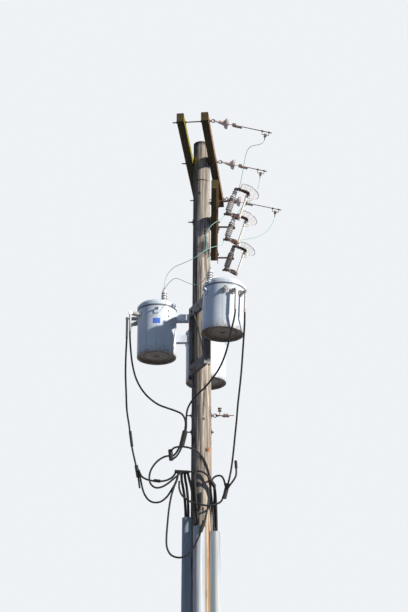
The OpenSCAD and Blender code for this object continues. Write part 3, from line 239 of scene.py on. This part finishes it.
class Paint:
    """A small builder of shader nodes over the frame's own coordinates, in metres."""

    def __init__(self, name, rough=0.6, metal=0.0, specular=0.5):
        self.material = bpy.data.materials.new(name)
        self.material.use_nodes = True
        self.tree = self.material.node_tree
        self.shader = self.tree.nodes["Principled BSDF"]
        self.shader.inputs["Roughness"].default_value = rough
        self.shader.inputs["Metallic"].default_value = metal
        self.shader.inputs["Specular IOR Level"].default_value = specular
        self.place = self.node("ShaderNodeTexCoord").outputs["Object"]
        self.axes = self.node("ShaderNodeSeparateXYZ", Vector=self.place).outputs
        self.normal = self.node("ShaderNodeSeparateXYZ",
            Vector=self.node("ShaderNodeNewGeometry").outputs["Normal"]).outputs

    def node(self, kind, **values):
        made = self.tree.nodes.new(kind)
        for key, value in values.items():
            self.put(made.inputs[key.replace("_", " ")], value)
        return made

    def put(self, socket, value):
        if isinstance(value, bpy.types.NodeSocket):
            self.tree.links.new(value, socket)
        else:
            socket.default_value = value

    def at(self, scale, shift=(0, 0, 0)):
        made = self.node("ShaderNodeMapping", Vector=self.place)
        made.inputs["Scale"].default_value = scale
        made.inputs["Location"].default_value = shift
        return made.outputs["Vector"]

    def noise(self, scale, detail=4, rough=0.55, twist=0.0, shift=(0, 0, 0)):
        made = self.node("ShaderNodeTexNoise", Vector=self.at(scale, shift), Scale=1.0,
                         Detail=detail, Roughness=rough, Distortion=twist)
        return made.outputs["Fac"]

    def cells(self, scale, shift=(0, 0, 0), feature="DISTANCE_TO_EDGE"):
        made = self.tree.nodes.new("ShaderNodeTexVoronoi")
        made.feature = feature
        self.put(made.inputs["Vector"], self.at(scale, shift))
        made.inputs["Scale"].default_value = 1.0
        return made.outputs["Distance"]

    def ramp(self, value, *stops):
        made = self.node("ShaderNodeValToRGB", Fac=value)
        ramp = made.color_ramp
        while len(ramp.elements) < len(stops):
            ramp.elements.new(0.5)
        for element, (at, colour) in zip(ramp.elements, stops):
            element.position = at
            element.color = colour if isinstance(colour, tuple) else (colour,) * 3 + (1,)
        return made.outputs["Color"]

    def span(self, value, low, high):
        """0 below low, 1 above high, and even between; low above high turns it round."""
        made = self.node("ShaderNodeMapRange", Value=value)
        made.inputs["From Min"].default_value = low
        made.inputs["From Max"].default_value = high
        return made.outputs["Result"]

    def math(self, kind, a, b=0.0):
        made = self.tree.nodes.new("ShaderNodeMath")
        made.operation = kind
        self.put(made.inputs[0], a)
        self.put(made.inputs[1], b)
        return made.outputs[0]

    def times(self, *values):
        made = values[0]
        for value in values[1:]:
            made = self.math("MULTIPLY", made, value)
        return made

    def mix(self, amount, a, b):
        made = self.tree.nodes.new("ShaderNodeMix")
        made.data_type = "RGBA"
        self.put(made.inputs["Factor"], amount)
        self.put(made.inputs["A"], a)
        self.put(made.inputs["B"], b)
        return made.outputs["Result"]

    def bump(self, height, distance, strength=1.0):
        made = self.node("ShaderNodeBump", Height=height, Distance=distance,
                         Strength=strength)
        self.put(self.shader.inputs["Normal"], made.outputs["Normal"])

    def finish(self, colour, rough=None):
        self.put(self.shader.inputs["Base Color"], colour)
        if rough is not None:
            self.put(self.shader.inputs["Roughness"], rough)
        return self.material


# Marks on the pole's near face, stains and cracks and some painted shadows: place across and up in
# metres, half sizes, colour
POLE_MARKS = [
    (-0.06, 9.05, 0.022, 0.036, (176, 150, 52)),
    (0.05, 8.095, 0.014, 0.028, (96, 66, 42)),
    (0.027, 7.68, 0.014, 0.024, (64, 48, 38)),
    (-0.105, 7.41, 0.026, 0.06, (70, 44, 30)),
    (0.085, 7.28, 0.02, 0.034, (184, 104, 48)),
    (0.062, 7.275, 0.014, 0.028, (54, 42, 36)),
    (0.02, 6.51, 0.014, 0.03, (70, 54, 42)),
    (-0.03, 10.9, 0.016, 0.03, (70, 58, 48)),
    (0.034, 8.0, 0.007, 0.17, (44, 38, 34)),
    # Painted shadow of the cutouts and their guards on the pole, in four marks
    (0.03, 10.08, 0.085, 0.13, (92, 88, 86)),
    (0.062, 10.18, 0.018, 0.1, (44, 40, 40)),
    (0.015, 10.1, 0.016, 0.09, (56, 52, 52)),
    (0.088, 10.0, 0.014, 0.09, (46, 42, 42)),
    # Painted shadow of a wire: a thin dark band across the pole
    (0.0, 11.1, 0.1, 0.011, (44, 42, 36)),
    (0.026, 7.82, 0.006, 0.12, (44, 38, 34)),
]


def pole_wood():
    p = Paint("weathered_pole", rough=0.92, specular=0.15)
    x, y, z = p.axes
    fibre = p.noise((62, 62, 1.3), 7, 0.66, 0.5)
    fine = p.noise((190, 190, 5), 4, 0.6, 0.2, (1, 4, 2))
    broad = p.noise((8, 8, 0.8), 3, 0.5)
    colour = p.ramp(fibre, (0.36, tone(84, 76, 68)), (0.45, tone(142, 132, 121)),
                    (0.53, tone(196, 184, 170)), (0.66, tone(232, 220, 206)))
    splits = p.noise((30, 30, 0.7), 4, 0.6, 0.35, (6, 5, 2))
    colour = p.mix(p.times(p.span(splits, 0.47, 0.39), 0.8), colour, tone(70, 62, 55))
    colour = p.mix(p.times(p.span(splits, 0.54, 0.64), 0.5), colour, tone(234, 220, 204))
    colour = p.mix(p.times(p.span(fine, 0.5, 0.38), 0.5), colour, tone(84, 76, 70))
    colour = p.mix(p.times(p.span(broad, 0.5, 0.7), 0.3), colour, tone(168, 144, 122))
    colour = p.mix(p.times(p.span(broad, 0.45, 0.3), 0.3), colour, tone(128, 122, 118))
    upper = p.span(z, 9.2, 11.2)
    colour = p.mix(p.times(upper, 0.25), colour, tone(132, 126, 116))
    checks = p.noise((34, 34, 0.5), 3, 0.5, 0.9, (3, 1, 5))
    crack = p.ramp(checks, (0.483, 0.0), (0.496, 1.0), (0.504, 1.0), (0.517, 0.0))
    patchy = p.span(p.noise((6, 6, 0.7), 2, 0.5, 0, (9, 2, 1)), 0.4, 0.52)
    cracks = p.times(crack, patchy)
    colour = p.mix(p.times(cracks, 0.92), colour, tone(44, 38, 34))
    moss = p.times(p.span(x, 0.0, -0.1), p.span(z, 9.6, 11.5),
                   p.span(p.noise((26, 26, 8), 5, 0.6, 0, (4, 4, 4)), 0.36, 0.6))
    colour = p.mix(p.times(moss, 0.9), colour, tone(66, 70, 36))
    # Painted shade: the faces turned away from the sun, towards -X, are darkened
    painted_shade_side = p.span(p.normal["X"], -0.5, -0.9)
    colour = p.mix(p.times(painted_shade_side, 0.55), colour, tone(58, 54, 46))
    near = p.span(y, 0.02, -0.02)
    off_strip = p.math("ABSOLUTE", p.math("SUBTRACT", x, 0.072))
    run_down = p.times(p.span(z, 6.5, 6.25), near)
    colour = p.mix(p.times(run_down, p.span(off_strip, 0.034, 0.028), 0.75), colour,
                   tone(200, 188, 164))
    rust = p.times(run_down, p.span(off_strip, 0.008, 0.016), p.span(off_strip, 0.04, 0.032),
                   p.span(p.noise((60, 60, 1.2), 4, 0.6, 0, (1, 7, 2)), 0.3, 0.5))
    colour = p.mix(p.times(rust, 0.85), colour, tone(168, 104, 42))
    knots = p.cells((4.2, 4.2, 1.5), (0.4, 0.3, 0.15), "F1")
    colour = p.mix(p.times(p.span(knots, 0.08, 0.04), 0.75), colour, tone(84, 64, 46))
    wobble = p.math("MULTIPLY", p.math("SUBTRACT", p.noise((40, 40, 24), 4, 0.6), 0.5), 1.6)
    # Stains, cracks and painted shadows, each on the near face only
    for at_x, at_z, half_x, half_z, shade in POLE_MARKS:
        across = p.math("DIVIDE", p.math("SUBTRACT", x, at_x), half_x)
        up = p.math("DIVIDE", p.math("SUBTRACT", z, at_z), half_z)
        away = p.math("SQRT", p.math("ADD", p.times(across, across), p.times(up, up)))
        mark = p.times(p.span(p.math("ADD", away, wobble), 1.15, 0.75), near)
        colour = p.mix(p.times(mark, 0.85), colour, tone(*shade))
    top = p.span(p.math("ADD", z, p.times(fibre, 0.12)), 11.69, 11.74)
    colour = p.mix(p.times(top, 0.85), colour, tone(48, 44, 40))
    height = p.math("SUBTRACT", p.math("ADD", p.times(fibre, 0.6), p.times(fine, 0.25)),
                    p.times(cracks, 1.6))
    p.bump(height, 0.008)
    return p.finish(colour)


def arm_wood():
    p = Paint("weathered_crossarm", rough=0.92, specular=0.15)
    x, y, z = p.axes
    fibre = p.noise((80, 2.0, 80), 7, 0.66, 0.4)
    colour = p.ramp(fibre, (0.34, tone(52, 43, 35)), (0.46, tone(88, 72, 56)),
                    (0.56, tone(118, 95, 70)), (0.7, tone(156, 126, 92)))
    # Painted sunlight: faces turned to +X are lightened; on the left arm this sunlit side is moss,
    # painted bright yellow-green as lit
    sunny = p.span(p.normal["X"], 0.5, 0.9)
    colour = p.mix(p.times(sunny, p.span(fibre, 0.36, 0.52), 0.8), colour, tone(178, 142, 110))
    sunlit_moss = p.times(sunny, p.span(x, -0.04, -0.06), p.span(p.noise((9, 3, 9), 3), 0.36, 0.46))
    colour = p.mix(p.times(sunlit_moss, 0.9), colour, tone(164, 158, 60))
    moss = p.times(p.span(p.noise((16, 5, 16), 5, 0.68, 0, (5, 1, 8)), 0.42, 0.6),
                   p.span(p.normal["X"], 0.85, 0.3))
    colour = p.mix(p.times(moss, 0.65), colour, tone(88, 92, 44))
    ends = p.span(p.normal["Y"], -0.6, -0.9)
    rings = p.noise((90, 6, 90), 4, 0.65, 2.5, (0, 3, 0))
    end_tone = p.ramp(rings, (0.35, tone(50, 44, 34)), (0.52, tone(88, 78, 50)),
                      (0.68, tone(122, 106, 70)))
    colour = p.mix(p.times(ends, 0.9), colour, end_tone)
    # Painted shade: downward faces are darkened
    under = p.span(p.normal["Z"], -0.5, -0.9)
    colour = p.mix(p.times(under, 0.45), colour, tone(38, 32, 28))
    # Painted highlight: a tan sunlit strip along the right edge of the equipment arm's underside
    painted_lit_edge = p.times(under, p.span(x, 0.19, 0.198), p.span(z, 10.8, 10.7))
    colour = p.mix(p.times(painted_lit_edge, 0.85), colour, tone(214, 160, 112))
    crack = p.ramp(p.noise((34, 0.8, 34), 3, 0.5, 0.8, (2, 5, 2)), (0.482, 0.0),
                   (0.497, 1.0), (0.503, 1.0), (0.518, 0.0))
    cracks = p.times(crack, p.span(p.noise((7, 1.2, 7), 2), 0.42, 0.56))
    colour = p.mix(p.times(cracks, 0.9), colour, tone(22, 19, 17))
    p.bump(p.math("SUBTRACT", p.times(fibre, 0.5), p.times(cracks, 1.5)), 0.006)
    return p.finish(colour)


def rusty_steel(name, zinc, rust, amount):
    """Dull galvanised steel that rusts in patches; more of it as amount goes up."""
    p = Paint(name, rough=0.55, metal=0.0, specular=0.5)
    grain = p.noise((160, 160, 160), 4, 0.6)
    patch = p.noise((16, 16, 11), 6, 0.68, 0.6, (2, 8, 3))
    base = p.ramp(grain, (0.35, tone(*[v * 0.78 for v in zinc])), (0.65, tone(*zinc)))
    worn = p.span(patch, 0.62 - 0.3 * amount, 0.72 - 0.22 * amount)
    deep = p.ramp(grain, (0.3, tone(*[v * 0.6 for v in rust])), (0.7, tone(*rust)))
    colour = p.mix(p.times(worn, 0.9), base, deep)
    p.bump(p.math("ADD", p.times(grain, 0.4), worn), 0.0012)
    return p.finish(colour, p.ramp(worn, (0.0, 0.5), (1.0, 0.88)))


def glaze(name, light, grime_and_shade, rough=0.16, below=None, lug=(196, 160, 138), stud=None):
    """Glazed porcelain with patchy grime, and painted shade on the downward faces under each shed;
    lower than below, the crimped lugs, grey at the top, and painted dark grey as in shadow where
    they hang furthest out; stud is the colour of the low-voltage bushings where it differs."""
    p = Paint(name, rough=rough, specular=0.6)
    x, y, z = p.axes
    grime = p.noise((24, 24, 60), 5, 0.65, 0.3)
    # Painted shade on every downward face, under each shed, together with patchy grime
    under = p.span(p.normal["Z"], 0.0, -0.7)
    amount = p.math("MAXIMUM", p.times(under, 0.75), p.times(p.span(grime, 0.5, 0.72), 0.45))
    colour = p.mix(amount, tone(*light), tone(*grime_and_shade))
    shine = p.ramp(amount, (0.0, rough), (1.0, 0.6))
    if stud is not None:
        colour = p.mix(p.span(z, 9.26, 9.24), colour, tone(*stud))
    if below is not None:
        is_lug = p.span(z, below, below - 0.004)
        worn = p.ramp(p.noise((70, 70, 20), 5, 0.65), (0.35, tone(*[v * 0.6 for v in lug])),
                      (0.6, tone(*lug)), (0.75, tone(*[min(255, v * 1.2) for v in lug])))
        worn = p.mix(p.times(p.span(z, below - 0.26, below - 0.2), 0.7), worn,
                     tone(204, 203, 202))
        # Painted shadow: the outermost lug, furthest out towards -X, is dark grey
        worn = p.mix(p.span(x, -0.97, -0.985), worn, tone(92, 84, 80))
        colour = p.mix(is_lug, colour, worn)
        shine = p.mix(is_lug, shine, (0.5, 0.5, 0.5, 1))
    p.bump(p.noise((300, 300, 300), 2), 0.0003)
    return p.finish(colour, shine)


def dead_end_glaze():
    """White glaze, stained tan and pink in patches."""
    p = Paint("dead_end_glaze", rough=0.3, specular=0.5)
    mottle = p.noise((60, 60, 60), 5, 0.65)
    colour = p.ramp(mottle, (0.34, tone(168, 128, 112)), (0.46, tone(222, 204, 196)),
                    (0.62, tone(242, 238, 236)))
    grime = p.span(p.noise((22, 22, 22), 5, 0.7, 0.4, (3, 9, 4)), 0.5, 0.64)
    colour = p.mix(p.times(grime, 0.65), colour, tone(128, 88, 70))
    p.bump(mottle, 0.0006)
    return p.finish(colour, p.ramp(grime, (0.0, 0.25), (1.0, 0.7)))


def tank_enamel(name, rim=None, lean=0.0):
    """Grey-white enamel, stained below, brown on its downward faces as painted shade and ground
    reflection, with a painted shadow just under the foot of the lid's rim, which is rim high and
    falls by lean towards +X."""
    p = Paint(name, rough=0.42, specular=0.3)
    x, y, z = p.axes
    fade = p.noise((5, 5, 2.2), 4, 0.55)
    streaks = p.noise((34, 34, 1.1), 5, 0.6, 0.2, (6, 2, 1))
    colour = p.ramp(fade, (0.35, tone(200, 210, 219)), (0.65, tone(220, 227, 233)))
    colour = p.mix(p.times(p.span(streaks, 0.52, 0.7), 0.35), colour, tone(120, 122, 120))
    low = p.times(p.span(z, 8.68, 8.55), p.span(p.noise((50, 50, 18), 5, 0.6), 0.35, 0.6))
    colour = p.mix(p.times(low, 0.6), colour, tone(112, 96, 80))
    # Painted shade and ground reflection: downward faces low on the tank turn brown, mottled by
    # noise
    under = p.span(p.normal["Z"], -0.25, -0.75)
    bottom = p.ramp(p.noise((30, 30, 30), 6, 0.66, 0.4), (0.34, tone(68, 54, 44)),
                    (0.5, tone(100, 84, 70)), (0.68, tone(128, 112, 96)))
    colour = p.mix(p.times(under, p.span(z, 9.0, 8.8)), colour, bottom)
    spots = p.span(p.cells((46, 46, 46), (1, 1, 1), "F1"), 0.16, 0.08)
    speck = p.times(spots, p.span(p.noise((9, 9, 9), 2, 0.5, 0, (3, 3, 3)), 0.55, 0.62))
    foot = p.times(p.span(z, 8.595, 8.56), p.span(p.noise((26, 26, 60), 4, 0.6), 0.4, 0.55))
    colour = p.mix(p.times(foot, 0.5), colour, tone(92, 70, 54))
    colour = p.mix(p.times(speck, 0.7), colour, tone(124, 82, 52))
    # Painted shadow: a dark band just under the foot of the lid's rim
    if rim is not None:
        level = p.math("ADD", z, p.times(x, lean))
        grime = p.times(p.span(level, rim - 0.026, rim - 0.016), p.span(level, rim + 0.002, rim))
        colour = p.mix(p.times(grime, 0.85), colour, tone(62, 58, 56))
    p.bump(p.noise((120, 120, 120), 3), 0.0008)
    return p.finish(colour, p.ramp(fade, (0.3, 0.36), (0.7, 0.52)))


def moulded(name, light, shade, rough, scale=40):
    """Outdoor plastic or fibreglass: even and faintly mottled."""
    p = Paint(name, rough=rough, specular=0.45)
    mottle = p.noise((scale, scale, scale), 5, 0.6)
    colour = p.ramp(mottle, (0.35, tone(*shade)), (0.62, tone(*light)))
    p.bump(p.noise((260, 260, 260), 2), 0.0004)
    return p.finish(colour, p.ramp(mottle, (0.3, rough + 0.12), (0.7, rough)))


def thin_moulding():
    """White weathered plastic, thin enough that sunlight glows through it."""
    p = Paint("thin_white_moulding", rough=0.5, specular=0.4)
    mottle = p.noise((30, 30, 30), 5, 0.65)
    colour = p.ramp(mottle, (0.36, tone(206, 196, 190)), (0.52, tone(240, 236, 232)),
                    (0.7, tone(250, 249, 247)))
    stain = p.span(p.noise((14, 14, 14), 4, 0.6, 0.3, (7, 3, 2)), 0.56, 0.68)
    colour = p.mix(p.times(stain, 0.4), colour, tone(196, 150, 120))
    p.shader.inputs["Subsurface Weight"].default_value = 1.0
    p.shader.inputs["Subsurface Scale"].default_value = 0.08
    p.shader.inputs["Subsurface Radius"].default_value = (1.0, 0.95, 0.9)
    p.bump(p.noise((260, 260, 260), 2), 0.0004)
    return p.finish(colour)


def riser_paint():
    p = Paint("cable_guard_face", rough=0.45, specular=0.4)
    x, y, z = p.axes
    streaks = p.noise((42, 42, 0.9), 5, 0.6, 0.3)
    colour = p.ramp(streaks, (0.35, tone(150, 157, 163)), (0.55, tone(186, 191, 195)),
                    (0.75, tone(206, 209, 211)))
    stain = p.times(p.span(p.noise((60, 60, 1.6), 4, 0.6, 0.2, (8, 1, 1)), 0.56, 0.7), 0.4)
    colour = p.mix(stain, colour, tone(150, 124, 96))
    # Painted shade: the left guard, facing away from the sun, is slate blue-grey
    shaded_left_guard = p.span(x, -0.108, -0.112)
    colour = p.mix(p.times(shaded_left_guard, 0.6), colour, tone(92, 114, 134))
    # Painted shade: the right guard's face towards the camera, turned from the sun, is darker grey
    shaded_face_right_guard = p.times(p.span(x, 0.09, 0.1), p.span(x, 0.176, 0.168), p.span(y, 0.1, 0.0))
    colour = p.mix(p.times(shaded_face_right_guard, 0.55), colour, tone(104, 122, 126))
    p.bump(p.noise((90, 90, 14), 3), 0.0006)
    return p.finish(colour, p.ramp(streaks, (0.3, 0.6), (0.7, 0.42)))


def jacket():
    p = Paint("cable_jacket_face", rough=0.62, specular=0.35)
    dust = p.noise((60, 60, 24), 5, 0.65)
    colour = p.ramp(dust, (0.42, tone(14, 14, 15)), (0.72, tone(44, 42, 41)))
    p.bump(p.noise((400, 400, 120), 3), 0.0006)
    return p.finish(colour, p.ramp(dust, (0.3, 0.5), (0.7, 0.75)))


def patina():
    p = Paint("green_copper", rough=0.6, metal=0.0, specular=0.4)
    bloom = p.noise((90, 90, 90), 5, 0.65)
    colour = p.ramp(bloom, (0.35, tone(112, 146, 134)), (0.5, tone(142, 200, 190)),
                    (0.7, tone(170, 222, 214)))
    p.bump(bloom, 0.0006)
    return p.finish(colour)


MATERIALS = {
    "pole_wood": pole_wood(),
    "arm_wood": arm_wood(),
    "steel": rusty_steel("old_galvanised", (122, 116, 110), (126, 72, 42), 0.65),
    "bracket": rusty_steel("bracket_galvanised", (78, 82, 90), (84, 56, 40), 0.4),
    "cutout_steel": rusty_steel("cutout_steel", (84, 80, 78), (132, 74, 40), 0.55),
    "porcelain": glaze("grey_glaze", (230, 229, 228), (156, 151, 146)),
    "fuse_tube": moulded("ivory_tube", (230, 227, 218), (204, 197, 182), 0.35),
    "guard_plastic": thin_moulding(),
    "tank_paint": tank_enamel("tank_enamel"),
    "riser_guard": riser_paint(),
    "cable_jacket": jacket(),
    "copper": patina(),
}


def dress(obj, material):
    obj.data.materials.clear()
    obj.data.materials.append(material)


for part in frame["record"]["subparts"]:
    dress(nodes[part["node"]], MATERIALS[part["material_slot"]])
dress(nodes["deadend_insulators"], dead_end_glaze())
# Painted shade: the third cutout's insulator gets a darker copy of the grey glaze, as in shadow
dress(nodes["cutout_insulator_3"], glaze("grey_glaze_in_painted_shade", (150, 148, 148), (62, 54, 50)))
# Height of each lid's rim at x = 0, and how far it falls for each metre towards +X
RIMS = {"left": (9.204, 0.0), "front": (9.1567, 0.0437), "back": (9.234, 0.0)}
for side, (rim, lean) in RIMS.items():
    dress(nodes["tank_" + side], tank_enamel("tank_enamel_" + side, rim, lean))
for k in "123":
    dress(nodes["cutout_frame_" + k], MATERIALS["cutout_steel"])
dress(nodes["deadend_clamps"], MATERIALS["cutout_steel"])
# Height of the low-voltage bushings' lugs on each tank, the lugs' colour and the studs'
LUGS = {
    "left": (9.078, (212, 186, 168), None),
    "front": (9.029, (204, 180, 164), (146, 140, 134)),
    "back": (9.108, (120, 96, 80), None),
}
for side, (top, lug, stud) in LUGS.items():
    dress(nodes["bracket_" + side], MATERIALS["bracket"])
    dress(nodes["bushings_" + side],
          glaze("glaze_and_lugs_" + side, (216, 214, 212), (96, 88, 82), 0.16, top, lug, stud))
for obj in leads:
    dress(obj, MATERIALS["copper"])
for obj in cables:
    dress(obj, MATERIALS["cable_jacket"])


# Small fittings
def curved_plate(name, middle, radius, half_turn, low, high, facing):
    """A thin plate bent round an upright tank wall."""
    shape = Shape()
    steps = 10
    for depth in (0.0012, -0.002):
        for z in (low, high):
            for k in range(steps + 1):
                turn = facing + half_turn * (2 * k / steps - 1)
                r = radius + depth
                shape.places.append(Vector((middle[0] + r * math.sin(turn),
                                            middle[1] - r * math.cos(turn), z)))
    row = steps + 1
    for k in range(steps):
        shape.faces += [(k, k + 1, row + k + 1, row + k),
                        (3 * row + k, 3 * row + k + 1, 2 * row + k + 1, 2 * row + k),
                        (row + k, row + k + 1, 3 * row + k + 1, 3 * row + k),
                        (2 * row + k, 2 * row + k + 1, k + 1, k)]
    shape.faces += [(0, row, 3 * row, 2 * row),
                    (steps, 2 * row + steps, 3 * row + steps, row + steps)]
    return shape.build(name, smooth=False)


# Ends of the slots in the perforated guards, which leave smaller holes in their dishes
GUARD_PLACES = [(0.5191, -0.55, 10.7353), (0.5191, 0.2, 10.7353), (0.5191, 1.0, 10.6553)]
DISH_MIDDLE, DISH_R = 0.115, 0.137
SLOT_STEP, SLOT_ROW, SLOT_W = 0.024, 0.042, 0.013


def slot_ends(name):
    """Small webs that shorten each whole slot of the three dishes from both ends."""
    shape = Shape()
    tilt = Matrix.Rotation(math.radians(11), 4, "Z") @ Matrix.Rotation(math.radians(27), 4, "Y")
    for place in GUARD_PLACES:
        stand = Matrix.Translation(place) @ tilt
        for i, j, end in itertools.product(range(10), range(-3, 4), (-1, 1)):
            x = 0.022 + i * SLOT_STEP
            box = [(x + dx, j * SLOT_ROW + end * dy, dz)
                   for dx in (-0.0005, SLOT_W + 0.0005) for dy in (0.0075, 0.0155)
                   for dz in (0.0004, 0.0036)]
            if max(math.hypot(bx - DISH_MIDDLE, by) for bx, by, bz in box) > DISH_R:
                continue
            a = len(shape.places)
            shape.places += [stand @ Vector(corner) for corner in box]
            sides = [(0, 1, 3, 2), (4, 6, 7, 5), (0, 4, 5, 1), (2, 3, 7, 6), (0, 2, 6, 4),
                     (1, 5, 7, 3)]
            shape.faces += [tuple(a + k for k in (side if end > 0 else side[::-1]))
                            for side in sides]
    return shape.build(name, smooth=False)


webs = slot_ends("guard_slot_ends")
dress(webs, MATERIALS["guard_plastic"])

plate = curved_plate("blue_plate", (-0.579, 0.0), 0.254, 0.185, 8.932, 9.006, 0.01)


def plate_enamel():
    p = Paint("blue_enamel", rough=0.35, specular=0.5)
    fade = p.noise((40, 40, 40), 4, 0.6)
    return p.finish(p.ramp(fade, (0.38, tone(62, 100, 200)), (0.6, tone(96, 136, 226))))


dress(plate, plate_enamel())


# Studio: a pale floor, a pale surround, one soft sun from the right and even fill
def seen_directly(tree):
    """1 for camera, glossy and transmission rays, which see the plain pale surround."""
    path = tree.nodes.new("ShaderNodeLightPath").outputs
    total = path["Is Camera Ray"]
    for other in ("Is Glossy Ray", "Is Transmission Ray"):
        add = tree.nodes.new("ShaderNodeMath")
        add.operation = "MAXIMUM"
        tree.links.new(total, add.inputs[0])
        tree.links.new(path[other], add.inputs[1])
        total = add.outputs[0]
    return total


def two_tones(tree, seen, unseen):
    mix = tree.nodes.new("ShaderNodeMix")
    mix.data_type = "RGBA"
    tree.links.new(seen_directly(tree), mix.inputs["Factor"])
    mix.inputs["A"].default_value = unseen
    mix.inputs["B"].default_value = seen
    return mix.outputs["Result"]


world = bpy.data.worlds.new("studio")
scene.world = world
world.use_nodes = True
surround = world.node_tree.nodes["Background"]
world.node_tree.links.new(
    two_tones(world.node_tree, (0.86, 0.89, 0.92, 1), (0.11, 0.165, 0.28, 1)),
    surround.inputs["Color"])

FLOOR_HALF = 24
FLOOR_Z = -0.002
floor_mesh = bpy.data.meshes.new("floor")
floor_mesh.from_pydata([(x * FLOOR_HALF, y * FLOOR_HALF, FLOOR_Z)
                        for x, y in ((-1, -1), (1, -1), (1, 1), (-1, 1))], [], [(0, 1, 2, 3)])
floor = bpy.data.objects.new("floor", floor_mesh)
scene.collection.objects.link(floor)
floor_paint = Paint("pale_floor", rough=0.95, specular=0.1)
floor_paint.finish(two_tones(floor_paint.tree, (0.78, 0.79, 0.80, 1), (0.25, 0.25, 0.25, 1)))
floor_mesh.materials.append(floor_paint.material)

SUN_STRENGTH = 5.5
sun_data = bpy.data.lights.new("key", "SUN")
sun_data.energy = SUN_STRENGTH
sun_data.angle = math.radians(2.5)
sun_data.color = (1.0, 0.95, 0.88)
sun = bpy.data.objects.new("key", sun_data)
sun.rotation_mode = "QUATERNION"
sun.rotation_quaternion = Vector((0.866, -0.50, 0.42)).to_track_quat("Z", "Y")
scene.collection.objects.link(sun)

scene.view_settings.view_transform = "Standard"
